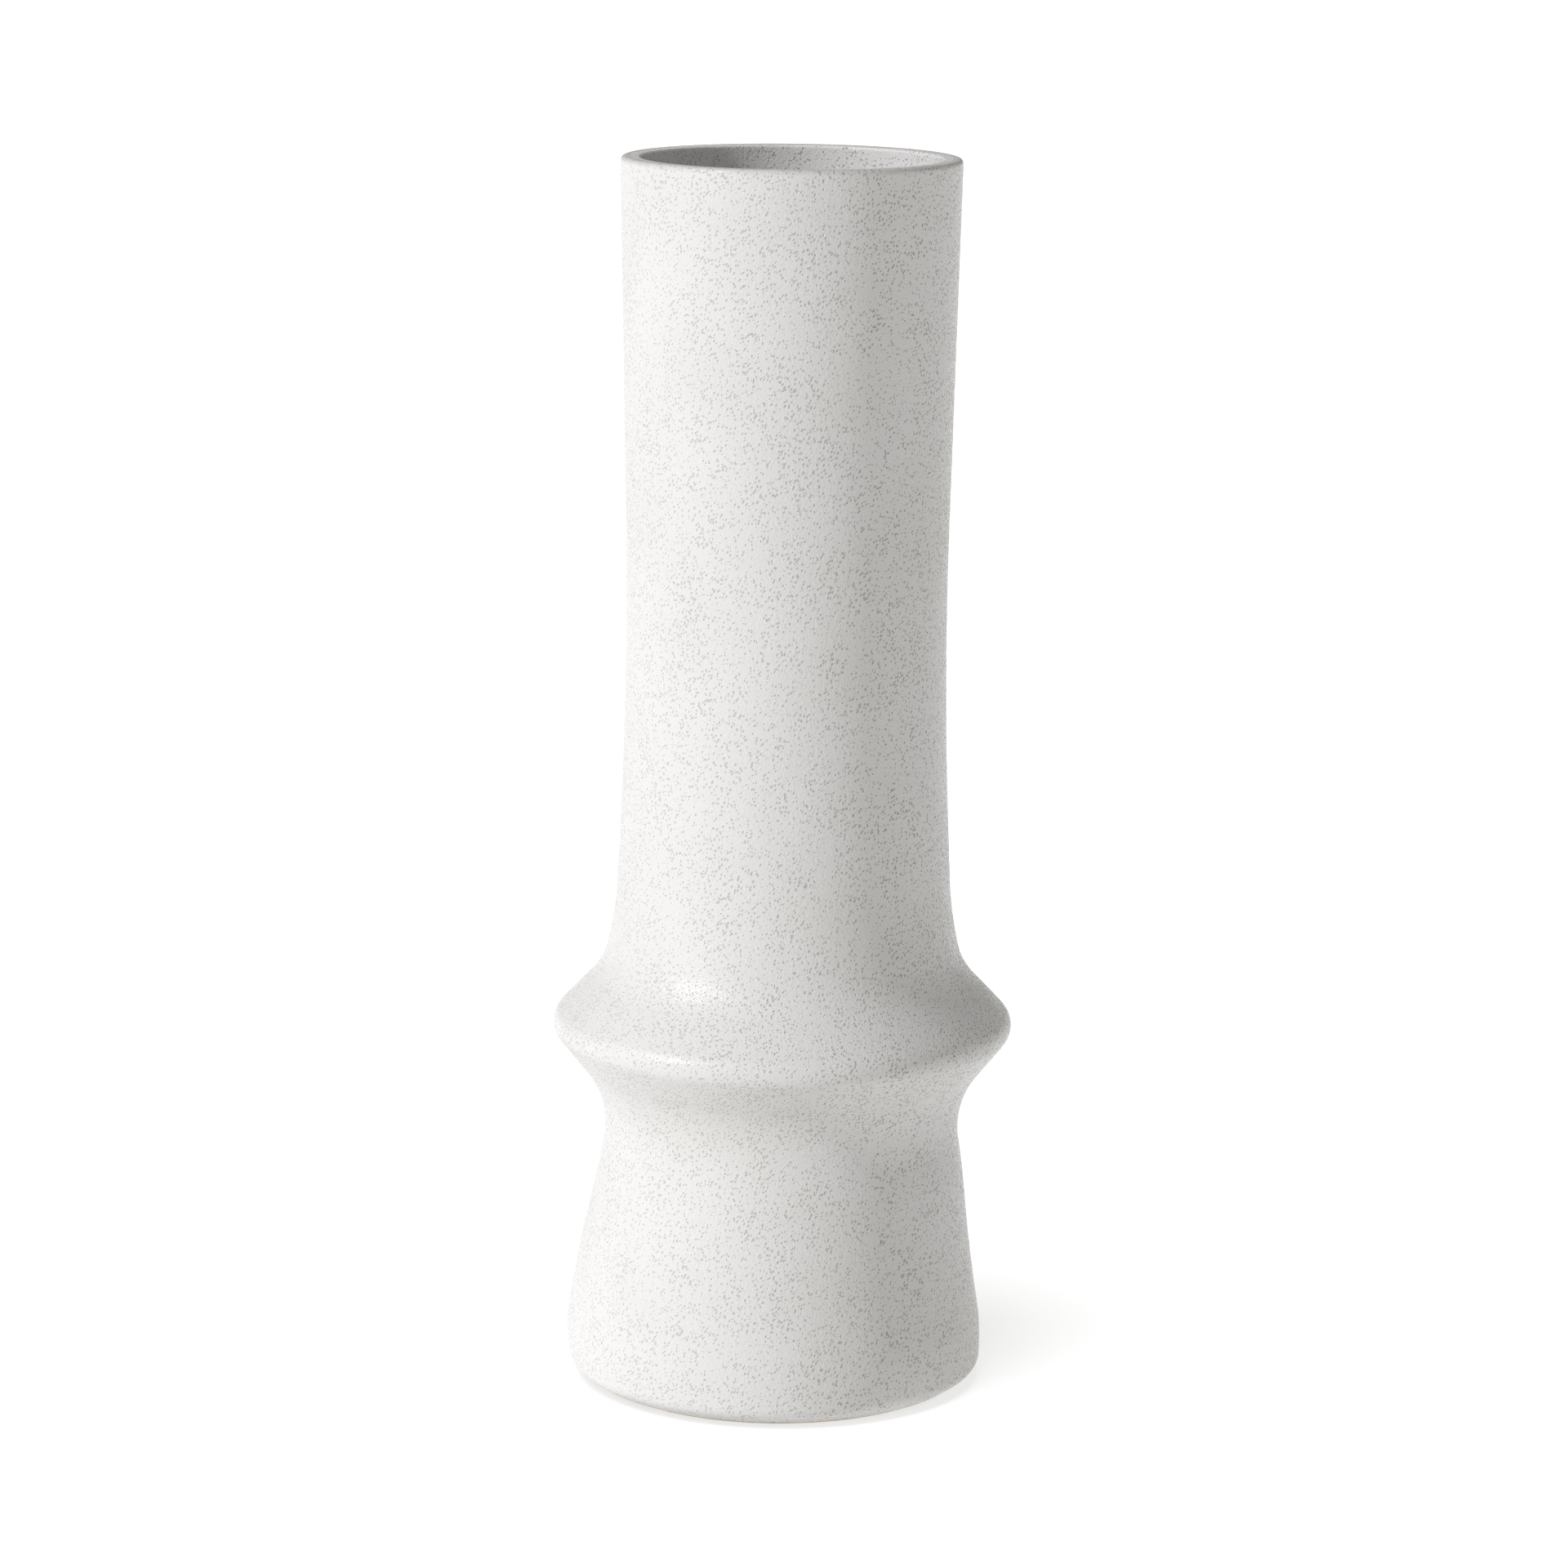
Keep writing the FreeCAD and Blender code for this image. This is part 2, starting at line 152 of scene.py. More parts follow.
class VaseSizes(bpy.types.PropertyGroup):
    """Sizes of the vase, in metres."""

    heel: stretch("Heel", 63.4, 8.0, 5.2)
    belly: stretch("Base swell", 21.0, 15.4, 48.0)
    waist: stretch("Waist", 90.7, 85.3, 32.0)
    collar: stretch("Collar", 69.0, 120.2, 6.8)
    bend: stretch("Shoulder bend", 82.3, 152.3, 25.0)
    flare: stretch("Neck flare", 172.8, 174.1, 118.0)
    neck: stretch("Long neck curve", 1552.5, 256.7, 1500.0)
    foot_round: bpy.props.FloatProperty(
        name="Foot edge", description="Radius of the foot edge over the glaze",
        default=1.5 * MM, unit="LENGTH")
    foot_reach: bpy.props.FloatProperty(
        name="Foot reach", description="Foot edge's centre from the axis",
        default=59.5 * MM, unit="LENGTH")
    lip_outside: bpy.props.FloatProperty(
        name="Lip outside", description="Squareness of the lip outside; 2 is round",
        default=4.0)
    lip_inside: bpy.props.FloatProperty(
        name="Lip inside", description="Squareness of the lip inside; 2 is round",
        default=8.0)
    lip_press: bpy.props.FloatProperty(
        name="Lip press", description="Height of the ribbed lip, as a part of a round one",
        default=0.86)
    lip_tilt: bpy.props.FloatProperty(
        name="Lip tilt", description="Rise of the lip from its middle to its outside",
        default=0.05)
    lip_reach: bpy.props.FloatProperty(
        name="Lip reach", description="Lip's centre from the axis",
        default=51.9 * MM, unit="LENGTH")
    coil_round: bpy.props.FloatProperty(
        name="Inside corner", description="Radius of the inside corner under the glaze",
        default=7.0 * MM, unit="LENGTH")
    glaze: bpy.props.FloatProperty(
        name="Glaze", description="Thickness of one coat of glaze",
        default=0.5 * MM, unit="LENGTH")
    clay: bpy.props.FloatProperty(
        name="Clay wall", description="Thickness of the thrown wall",
        default=5.4 * MM, unit="LENGTH")
    bare_band: bpy.props.FloatProperty(
        name="Bare band", description="Height of the bare clay above the table",
        default=1.2 * MM, unit="LENGTH")
    row_step: bpy.props.FloatProperty(
        name="Row step", description="Longest mesh row along the outline",
        default=2.6 * MM, unit="LENGTH")
    sway: bpy.props.FloatProperty(
        name="Base sway", description="How far the hand-thrown base swells to one side",
        default=2.1 * MM, unit="LENGTH")
    wobble: bpy.props.FloatProperty(
        name="Wobble", description="How far the thrown wall strays from round",
        default=0.12 * MM, unit="LENGTH")
    columns: bpy.props.IntProperty(
        name="Columns", description="Mesh columns round the vase", default=288)
    pit: bpy.props.FloatProperty(
        name="Pit spacing", description="Usual distance between gas bubbles in the glaze",
        default=0.92 * MM, unit="LENGTH")
    pit_lean: bpy.props.FloatProperty(
        name="Pit lean", description="How far the pits lean over from upright",
        default=np.radians(22), unit="ROTATION")
    cloud: bpy.props.FloatProperty(
        name="Pit cloud", description="Usual width of a cloud of pits",
        default=12.0 * MM, unit="LENGTH")
    pit_depth: bpy.props.FloatProperty(
        name="Pit depth", description="Depth of a pit in the glaze",
        default=0.15 * MM, unit="LENGTH")
    swell: bpy.props.FloatProperty(
        name="Glaze swell", description="Width of the slow swells of the glaze",
        default=9.0 * MM, unit="LENGTH")
    swell_height: bpy.props.FloatProperty(
        name="Swell height", description="Height of the slow swells of the glaze",
        default=0.08 * MM, unit="LENGTH")
    peel: bpy.props.FloatProperty(
        name="Orange peel", description="Width of the fine ripples of the glaze",
        default=0.9 * MM, unit="LENGTH")
    peel_height: bpy.props.FloatProperty(
        name="Peel height", description="Height of the fine ripples of the glaze",
        default=0.18 * MM, unit="LENGTH")
    fleck: bpy.props.FloatProperty(
        name="Fleck", description="Size of the glassy flecks in the satin glaze",
        default=0.7 * MM, unit="LENGTH")
    coat_patch: bpy.props.FloatProperty(
        name="Coat patch", description="Width of the patches where the glaze lies thin",
        default=50.0 * MM, unit="LENGTH")
    toast: bpy.props.FloatProperty(
        name="Toasting", description="Width of the tan patches of bare clay",
        default=18.0 * MM, unit="LENGTH")
    grit: bpy.props.FloatProperty(
        name="Grit spacing", description="Usual distance between grains of grit",
        default=1.6 * MM, unit="LENGTH")
    clay_grain: bpy.props.FloatProperty(
        name="Clay grain", description="Width of the grain of bare clay",
        default=0.7 * MM, unit="LENGTH")


def colour(name, code, description):
    """A colour property with its default as a linear colour."""
    return bpy.props.FloatVectorProperty(
        name=name, description=description, subtype="COLOR", size=4,
        min=0.0, max=1.0, default=to_linear(code))


def to_linear(code):
    """Turns an sRGB hex colour into a linear one with full alpha."""
    parts = np.array([int(code[i:i + 2], 16) for i in (1, 3, 5)]) / 255.0
    linear = np.where(parts <= 0.04045, parts / 12.92, ((parts + 0.055) / 1.055) ** 2.4)
    return (*linear.tolist(), 1.0)


class VaseColours(bpy.types.PropertyGroup):
    """Colours of the fired surfaces and of the studio."""

    glaze: colour("Glaze", "#C4C3C1", "Satin off-white glaze")
    glaze_thin: colour("Thin glaze", "#C1C0BD", "The glaze where it lies thin")
    # How far a pit takes this colour is partly painted shade, stronger on the side away from the
    # key light.
    pit: colour("Pit", "#97938A", "Bottom of a pit, where the clay shows through")
    broken: colour("Broken glaze", "#A3A19D", "Glaze run thin over the edge of the lip")
    clay: colour("Clay", "#C2AE8E", "Bare fired stoneware")
    clay_dark: colour("Dark clay", "#A89A85", "Toasted patches and the finest grit")
    slip: colour("Slip", "#BFB29D", "Fired slip in the joints")
    grit: colour("Grit", "#6A5E50", "Grains of grit in the clay")
    table: colour("Table", "#A6A6A6", "Studio table")
    table_shade: colour("Table shade", "#A3A3A3", "Studio table where it is darker")
    key_light: colour("Key light", "#FBFBFF", "Light from the left")
    surround: colour("Surround", "#FFFEFC", "Even light from all round")


def sizes():
    """The sizes that the scene holds."""
    return bpy.context.scene.vase_sizes


def colours():
    """The colours that the scene holds."""
    return bpy.context.scene.vase_colours


# Shape -------------------------------------------------------------------------------

def centre(name, depth):
    """Centre and signed radius of a round stretch at a depth under the glaze.

    The radius shrinks with depth where the outline bulges and grows where it is hollow,
    so surfaces at two depths are parallel.
    """
    size = sizes()
    wall = 2 * size.glaze + size.clay
    lip_round = wall / 2
    if name == "lip":
        return np.array([size.lip_reach, CAD_HIGH.z - lip_round]), lip_round - depth
    if name == "foot":
        return np.array([size.foot_reach, size.foot_round - size.glaze]), size.foot_round - depth
    if name == "coil":
        return coil_centre(), size.coil_round + size.glaze + size.clay - depth
    reach, level, roundness = getattr(size, name)
    return np.array([reach, level]), SIDE[name] * roundness - depth


def coil_centre():
    """Centre of the inside corner, which touches the floor and the base swell."""
    size = sizes()
    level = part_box("floor_disc")[1].z + size.coil_round
    belly, inner = centre("belly", size.glaze + size.clay)
    gap = inner - size.coil_round
    return np.array([belly[0] + np.sqrt(gap ** 2 - (level - belly[1]) ** 2), level])


def shared_normal(below, above):
    """Direction of the normal of the straight stretch tangent to two round ones."""
    (start, start_round), (stop, stop_round) = below, above
    run = stop - start
    length = np.hypot(*run)
    lean = np.arcsin(np.clip((start_round - stop_round) / length, -1, 1))
    return np.remainder(np.arctan2(run[1], run[0]) + np.pi / 2 + lean, 2 * np.pi) - np.pi


def outline(names, depth, first, last):
    """Distance from the axis and level of points along one surface.

    Each round stretch is its centre plus its signed radius times the outward normal,
    with the normal turning evenly; each straight one runs evenly between two of them.
    The rows are never further apart than the row step, or a few degrees of turning.
    Where two stretches meet with nothing between them, their shared point is kept once.
    """
    rounds = [centre(name, depth) for name in names]
    turns = [shared_normal(below, above) for below, above in zip(rounds, rounds[1:])]
    if names[0] == "coil":
        gap = rounds[0][0] - rounds[1][0]
        turns[0] = np.arctan2(gap[1], gap[0])
    starts = [first] + turns
    stops = turns + [last]
    parts = []
    for name, (middle, roundness), start, stop in zip(names, rounds, starts, stops):
        finest = LIP_TURN if name == "lip" else OTHER_TURN
        rows = count_rows(abs(roundness * (stop - start)), abs(stop - start) / finest)
        angles = np.linspace(start, stop, rows)
        arc = middle + roundness * np.stack([np.cos(angles), np.sin(angles)], axis=1)
        if parts:
            gap = np.hypot(*(arc[0] - parts[-1][-1]))
            steps = np.linspace(0, 1, count_rows(gap, 0))[1:-1, None]
            parts.append(parts[-1][-1] + (arc[0] - parts[-1][-1]) * steps)
        parts.append(arc)
    points = np.concatenate(parts)
    apart = np.hypot(*np.diff(points, axis=0).T) > SAME_POINT
    return points[np.append(True, apart)]


def count_rows(length, least):
    """Number of rows for a stretch of this length, and no fewer than the least."""
    return 2 + int(max(length / sizes().row_step, least))


def squared_lip(points):
    """Makes the half-round lip squarer, most of all inside, as a wooden rib leaves it.

    A point above the lip's centre moves out along its own radius, which is divided by
    the norm of its direction: (|across| ** n + |up| ** n) ** (1 / n), n for its side.
    It then sinks, the more the nearer it is to the inside: up * (press + tilt * across).
    """
    size = sizes()
    middle, roundness = centre("lip", 0.0)
    way = (points - middle) / roundness
    power = np.where(way[:, 0] > 0, size.lip_outside, size.lip_inside)
    norm = (np.abs(way) ** power[:, None]).sum(axis=1) ** (1 / power)
    square = way / norm[:, None]
    square[:, 1] *= size.lip_press + size.lip_tilt * square[:, 0]
    squarer = middle + roundness * square
    return np.where(way[:, 1:] > 0, squarer, points)


def coarser(points):
    """Every second point of a hidden surface, with both its ends."""
    return np.concatenate([points[:-1:2], points[-1:]])


def cut(points, low):
    """Drops the points under a level and starts the surface exactly on it."""
    above = int(np.argmax(points[:, 1] > low))
    before, after = points[above - 1], points[above]
    share = (low - before[1]) / (after[1] - before[1])
    return np.concatenate([[before + (after - before) * share], points[above:]])


def strayed(points):
    """Moves points of the true turned shape to where the hand-thrown wall is.

    The base swells to -X by the sway times (1 - climb ** 4) ** 2, where climb goes from 0
    at the table to 1 near the waist, and less at the foot than just above it. The wall
    also strays from round by an oval wave and a three-lobed one that turn as they climb,
    and by a faint spiral of finger marks. It strays less at the table, and the floor less
    towards its middle. A move depends on the place alone, so all layers move together.
    """
    size = sizes()
    x, y, z = points.T
    direction = np.arctan2(y, x)
    climb = np.clip(z / (SWAY_END * size.waist[1]), 0, 1)
    rising = FOOT_SWAY + (1 - FOOT_SWAY) * np.clip(z / FULL_SWAY, 0, 1)
    sway = -size.sway * (1 - climb ** 4) ** 2 * rising
    oval = np.cos(2 * direction + OVAL_START + z / OVAL_CLIMB)
    lobed = LOBED_SHARE * np.cos(3 * direction - z / LOBED_CLIMB)
    spiral = FINGER_SHARE * np.sin(2 * np.pi * z / FINGER_CLIMB + direction)
    near_axis = np.clip(np.hypot(x, y) / STEADY_MIDDLE, 0, 1)
    near_table = np.clip(z / STEADY_FOOT, 0, 1)
    stray = size.wobble * (oval + lobed + spiral) * near_axis * near_table
    return np.stack([x + sway + stray * np.cos(direction),
                     y + stray * np.sin(direction), z], axis=1)


def turned_grid(loop):
    """An outline turned about the axis: point (i, j) is outline point i turned by step j.

    It gives the points, one row after another, and the grid of their numbers.
    """
    columns = sizes().columns
    angle = np.linspace(0, 2 * np.pi, columns, endpoint=False)
    reach, level = loop[:, :1], loop[:, 1:]
    grid = np.stack([reach * np.cos(angle), reach * np.sin(angle),
                     level + 0 * angle], axis=2)
    return grid.reshape(-1, 3), np.arange(len(loop) * columns).reshape(-1, columns)


def quads_between(low, high):
    """Quads from each row of point numbers to its row above, all the way round."""
    low_next, high_next = np.roll(low, -1, axis=1), np.roll(high, -1, axis=1)
    return np.stack([low, low_next, high_next, high], axis=2).reshape(-1, 4)


def turned_ring(name, loop):
    """A surface of revolution round a closed loop, whose last row joins its first."""
    points, index = turned_grid(loop)
    return make_piece(name, points, quads_between(index, np.roll(index, -1, axis=0)))


def turned_with_poles(name, loop):
    """A surface of revolution whose outline starts and ends on the axis, at a pole."""
    points, index = turned_grid(loop[1:-1])
    poles = np.array([[0, 0, loop[0, 1]], [0, 0, loop[-1, 1]]])
    first, last = len(points), len(points) + 1
    low, high = index[0], index[-1]
    bottom = np.stack([np.full_like(low, first), np.roll(low, -1), low], axis=1)
    top = np.stack([high, np.roll(high, -1), np.full_like(high, last)], axis=1)
    return make_piece(name, np.concatenate([points, poles]),
                      quads_between(index[:-1], index[1:]), bottom, top)


def make_piece(name, points, *faces):
    """Strays the points, and puts them and the arrays of faces into a mesh."""
    mesh = bpy.data.meshes.new(name)
    corners = [corner for array in faces for corner in array.tolist()]
    mesh.from_pydata(strayed(points), [], corners)
    return shaded_piece(name, mesh)


def shaded_piece(name, mesh):
    """An object with a mesh that is shaded smooth, but sharp across its corners."""
    mesh.polygons.foreach_set("use_smooth", np.ones(len(mesh.polygons), bool))
    mesh.update()
    mesh.set_sharp_from_angle(angle=SHARP)
    piece = bpy.data.objects.new(name, mesh)
    bpy.context.scene.collection.objects.link(piece)
    return piece


def seat(piece, material, slot, *nodes):
    """Gives a piece its material and puts it on the vase in place of CAD nodes.

    The slot argument is not used. The lights for the vase fall on it.
    """
    piece.data.materials.append(material)
    only_on("lit_vase").objects.link(piece)
    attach(piece, "root")
    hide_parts(*nodes)


def only_on(name):
    """The named collection of objects that a light falls on, made when first needed."""
    found = bpy.data.collections.get(name)
    return found or bpy.data.collections.new(name)


# Materials ---------------------------------------------------------------------------

def add_node(tree, kind, inputs=(), output=0, **settings):
    """Adds a node with its own settings and returns the output that is asked for.

    Each input is a value, or another node's output to link to.
    """
    made = tree.nodes.new(kind)
    for name, value in settings.items():
        setattr(made, name, value)
    for socket, value in dict(inputs).items():
        if isinstance(value, bpy.types.NodeSocket):
            tree.links.new(value, made.inputs[socket])
        else:
            made.inputs[socket].default_value = value
    return made.outputs[output] if made.outputs else None


def new_material(name):
    """An empty node material, its tree, and the place of each point of the piece."""
    material = bpy.data.materials.new(name)
    material.use_nodes = True
    tree = material.node_tree
    tree.nodes.clear()
    place = add_node(tree, "ShaderNodeTexCoord", output="Object")
    return material, tree, place


def leaning(tree, place):
    """Turns the pattern about the axis as it climbs, and wavers it a little everywhere.

    A point's turn is its level times the tangent of the lean over the neck's radius.
    """
    size = sizes()
    turn_per_metre = -np.tan(size.pit_lean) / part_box("neck_slip")[1].x
    level = add_node(tree, "ShaderNodeSeparateXYZ", {"Vector": place}, output="Z")
    turn = add_node(tree, "ShaderNodeMath", {0: level, 1: turn_per_metre},
                    operation="MULTIPLY")
    leant = add_node(tree, "ShaderNodeVectorRotate", {"Vector": place, "Angle": turn},
                     rotation_type="Z_AXIS")
    bend = add_node(tree, "ShaderNodeTexNoise", output="Color",
                    inputs={"Vector": place, "Scale": WAVER_SCALE / size.pit,
                            "Detail": 1.0})
    centred = add_node(tree, "ShaderNodeVectorMath", {0: bend, 1: (0.5, 0.5, 0.5)},
                       operation="SUBTRACT")
    waver = add_node(tree, "ShaderNodeVectorMath",
                     {0: centred, "Scale": WAVER_REACH * size.pit}, operation="SCALE")
    return add_node(tree, "ShaderNodeVectorMath", {0: leant, 1: waver}, operation="ADD")


def pits(tree, place, crowd):
    """Pits that gas bubbles left, scattered through space and cut by the surface.

    Each is a blob round a scattered point, taller than it is wide, with a size of its own
    that grows where pits crowd together, so that some run into chains. The result is how
    far inside a pit a point lies, in pit spacings, and below 0 off it.
    """
    size = sizes()
    squeezed = add_node(tree, "ShaderNodeMapping",
                        {"Vector": leaning(tree, place), "Scale": (1, 1, 1 / PIT_TALLNESS)})
    distance = add_node(tree, "ShaderNodeTexVoronoi",
                        {"Vector": squeezed, "Scale": 1 / size.pit}, feature="F1")
    chance = add_node(tree, "ShaderNodeSeparateColor",
                      {"Color": distance.node.outputs["Color"]})
    reach = add_node(tree, "ShaderNodeMapRange",
                     {"Value": chance, "To Min": PIT_REACH[0], "To Max": PIT_REACH[1]})
    grown = add_node(tree, "ShaderNodeMath", {0: reach, 1: crowd}, operation="MULTIPLY")
    return add_node(tree, "ShaderNodeMath", {0: grown, 1: distance}, operation="SUBTRACT")


def satin_speckled_glaze(name, strength, breaking):
    """Satin stoneware glaze, dipped and fired: milky, pitted where gas broke through.

    To the eye: a soft sheen broken into glints by a fine ripple and glassy flecks, clouds
    of small pits with smoother patches between, the pits darker, warmer and rougher.
    Their darkness is partly painted shade inside the pits: faint towards -X, where the key
    light falls, and strong towards +X, in the shade. Over the edge of the lip it breaks thin.
    Strength is the pits' darkness, and breaking how far the lip's edge shows its colour.
    """
    size, tint = sizes(), colours()
    material, tree, place = new_material(name)

    clouds = add_node(tree, "ShaderNodeTexNoise",
                      {"Vector": place, "Scale": 1 / size.cloud, "Detail": 3.0,
                       "Roughness": 0.6})
    crowd = add_node(tree, "ShaderNodeMapRange",
                     {"Value": clouds, "From Min": CLOUD_NOISE[0],
                      "From Max": CLOUD_NOISE[1], "To Min": CLOUD_GROWTH[0],
                      "To Max": CLOUD_GROWTH[1]})
    inside = pits(tree, place, crowd)
    hollow = add_node(tree, "ShaderNodeMapRange",
                      {"Value": inside, "From Min": PIT_COLOUR[0],
                       "From Max": PIT_COLOUR[1]},
                      interpolation_type="SMOOTHSTEP")
    dimple = add_node(tree, "ShaderNodeMapRange",
                      {"Value": inside, "From Min": PIT_HOLLOW[0],
                       "From Max": PIT_HOLLOW[1]},
                      interpolation_type="SMOOTHSTEP")

    swell = add_node(tree, "ShaderNodeTexNoise",
                     {"Vector": place, "Scale": 1 / size.swell, "Detail": 2.0})
    peel = add_node(tree, "ShaderNodeTexNoise",
                    {"Vector": place, "Scale": 1 / size.peel, "Detail": 2.0})
    coat = add_node(tree, "ShaderNodeTexNoise",
                    {"Vector": place, "Scale": 1 / size.coat_patch, "Detail": 4.0})
    thin = add_node(tree, "ShaderNodeMapRange",
                    {"Value": coat, "From Min": THIN_NOISE[0], "From Max": THIN_NOISE[1]},
                    interpolation_type="SMOOTHSTEP")
    milky = add_node(tree, "ShaderNodeMix",
                     {"Factor": thin, COLOUR_A: tint.glaze, COLOUR_B: tint.glaze_thin},
                     output=COLOUR_RESULT, data_type="RGBA")
    spot = add_node(tree, "ShaderNodeSeparateXYZ", {"Vector": place})
    # Painted shade: the pits darken more towards +X, away from the key light, and less on the
    # lit -X side.
    painted_pit_shade = add_node(tree, "ShaderNodeMapRange",
                     {"Value": spot, "From Min": PIT_SHADE_PLACE[0], "From Max": PIT_SHADE_PLACE[1],
                      "To Min": PIT_SHADE_STRENGTH[0] * strength,
                      "To Max": PIT_SHADE_STRENGTH[1] * strength})
    darkness = add_node(tree, "ShaderNodeMath", {0: hollow, 1: painted_pit_shade},
                        operation="MULTIPLY")
    lip_middle = centre("lip", 0.0)[0][1]
    edge = add_node(tree, "ShaderNodeMapRange",
                    {"Value": spot.node.outputs["Z"],
                     "From Min": lip_middle + LIP_BREAK[0],
                     "From Max": lip_middle + LIP_BREAK[1], "To Max": breaking},
                    interpolation_type="SMOOTHSTEP")
    broken = add_node(tree, "ShaderNodeMix",
                      {"Factor": edge, COLOUR_A: milky, COLOUR_B: tint.broken},
                      output=COLOUR_RESULT, data_type="RGBA")
    shade = add_node(tree, "ShaderNodeMix",
                     {"Factor": darkness, COLOUR_A: broken, COLOUR_B: tint.pit},
                     output=COLOUR_RESULT, data_type="RGBA")

    # Heights are in metres. The ripple is higher than a real one, so that its glints show.
    pitted = add_node(tree, "ShaderNodeMath", {0: dimple, 1: -size.pit_depth},
                      operation="MULTIPLY")
    swelling = add_node(tree, "ShaderNodeMath", {0: swell, 1: size.swell_height, 2: pitted},
                        operation="MULTIPLY_ADD")
    height = add_node(tree, "ShaderNodeMath", {0: peel, 1: size.peel_height, 2: swelling},
                      operation="MULTIPLY_ADD")
    relief = add_node(tree, "ShaderNodeBump", {"Height": height, "Distance": 1.0})

    fleck = add_node(tree, "ShaderNodeTexNoise",
                     {"Vector": place, "Scale": 1 / size.fleck, "Detail": 1.0})
    satin = add_node(tree, "ShaderNodeMapRange",
                     {"Value": fleck, "From Min": FLECK_NOISE[0],
                      "From Max": FLECK_NOISE[1], "To Min": FLECK_ROUGHNESS[0],
                      "To Max": FLECK_ROUGHNESS[1]},
                     interpolation_type="SMOOTHSTEP")
    smooth = add_node(tree, "ShaderNodeMath", {0: thin, 1: THIN_ROUGHNESS, 2: satin},
                      operation="MULTIPLY_ADD")
    rough = add_node(tree, "ShaderNodeMath", {0: hollow, 1: PIT_ROUGHNESS, 2: smooth},
                     operation="MULTIPLY_ADD")
    # Glaze is a glass, so its IOR is 1.5. The satin skin dulls the shine to under half.
    shader = add_node(tree, "ShaderNodeBsdfPrincipled",
                      {"Base Color": shade, "Roughness": rough, "Normal": relief,
                       "IOR": 1.5, "Specular IOR Level": 0.2})
    add_node(tree, "ShaderNodeOutputMaterial", {"Surface": shader})
    return material


def bare_stoneware(name, pale, dark, ring_step):
    """Unglazed fired stoneware, turned or thrown on the wheel.

    To the eye: matte cream clay with tan toasting, dark grit, and the fine rings that
    the tool or the fingers left about the axis.
    """
    size, tint = sizes(), colours()
    material, tree, place = new_material(name)

    toast = add_node(tree, "ShaderNodeTexNoise",
                     {"Vector": place, "Scale": 1 / size.toast, "Detail": 5.0})
    toasting = add_node(tree, "ShaderNodeMapRange",
                        {"Value": toast, "From Min": TOAST_NOISE[0],
                         "From Max": TOAST_NOISE[1]},
                        interpolation_type="SMOOTHSTEP")
    toasted = add_node(tree, "ShaderNodeMix",
                       {"Factor": toasting, COLOUR_A: pale, COLOUR_B: dark},
                       output=COLOUR_RESULT, data_type="RGBA")

    cell = add_node(tree, "ShaderNodeTexVoronoi", {"Vector": place, "Scale": 1 / size.grit})
    chance = add_node(tree, "ShaderNodeSeparateColor", {"Color": cell.node.outputs["Color"]})
    chosen = add_node(tree, "ShaderNodeMath", {0: chance, 1: GRIT_RARITY},
                      operation="GREATER_THAN")
    near = add_node(tree, "ShaderNodeMapRange",
                    {"Value": cell, "From Min": GRIT_EDGE[0], "From Max": GRIT_EDGE[1]},
                    interpolation_type="SMOOTHSTEP")
    grit = add_node(tree, "ShaderNodeMath", {0: chosen, 1: near}, operation="MULTIPLY")
    shade = add_node(tree, "ShaderNodeMix",
                     {"Factor": grit, COLOUR_A: toasted, COLOUR_B: tint.grit},
                     output=COLOUR_RESULT, data_type="RGBA")

    flat = add_node(tree, "ShaderNodeVectorMath", {0: place, 1: (1, 1, 0)},
                    operation="MULTIPLY")
    reach = add_node(tree, "ShaderNodeVectorMath", {0: flat}, output="Value",
                     operation="LENGTH")
    phase = add_node(tree, "ShaderNodeMath", {0: reach, 1: 2 * np.pi / ring_step},
                     operation="MULTIPLY")
    ring = add_node(tree, "ShaderNodeMath", {0: phase}, operation="SINE")
    grain = add_node(tree, "ShaderNodeTexNoise",
                     {"Vector": place, "Scale": 1 / size.clay_grain, "Detail": 4.0})
    # The grain is higher than a real one, so that it shows in a band this narrow.
    grainy = add_node(tree, "ShaderNodeMath", {0: grain, 1: GRAIN_HEIGHT},
                      operation="MULTIPLY")
    height = add_node(tree, "ShaderNodeMath", {0: ring, 1: RING_HEIGHT, 2: grainy},
                      operation="MULTIPLY_ADD")
    relief = add_node(tree, "ShaderNodeBump", {"Height": height, "Distance": 1.0})
    rough = add_node(tree, "ShaderNodeMath",
                     {0: grain, 1: CLAY_ROUGHNESS[1], 2: CLAY_ROUGHNESS[0]},
                     operation="MULTIPLY_ADD")
    shader = add_node(tree, "ShaderNodeBsdfPrincipled",
                      {"Base Color": shade, "Roughness": rough, "Normal": relief,
                       "IOR": 1.5})
    add_node(tree, "ShaderNodeOutputMaterial", {"Surface": shader})
    return material


def opal_table():
    """Opal acrylic table lit from below: an even white with only a trace of shadow."""
    tint = colours()
    material, tree, place = new_material("opal_acrylic_table")
    cast = add_node(tree, "ShaderNodeTexNoise",
                    {"Vector": place, "Scale": 2.0, "Detail": 2.0})
    shade = add_node(tree, "ShaderNodeMix",
                     {"Factor": cast, COLOUR_A: tint.table, COLOUR_B: tint.table_shade},
                     output=COLOUR_RESULT, data_type="RGBA")
    shader = add_node(tree, "ShaderNodeBsdfPrincipled",
                      {"Base Color": shade, "Roughness": 0.9, "Specular IOR Level": 0.1,
                       "Emission Color": to_linear(WHITE), "Emission Strength": TABLE_GLOW})
    add_node(tree, "ShaderNodeOutputMaterial", {"Surface": shader})
    return material


# Operators ---------------------------------------------------------------------------

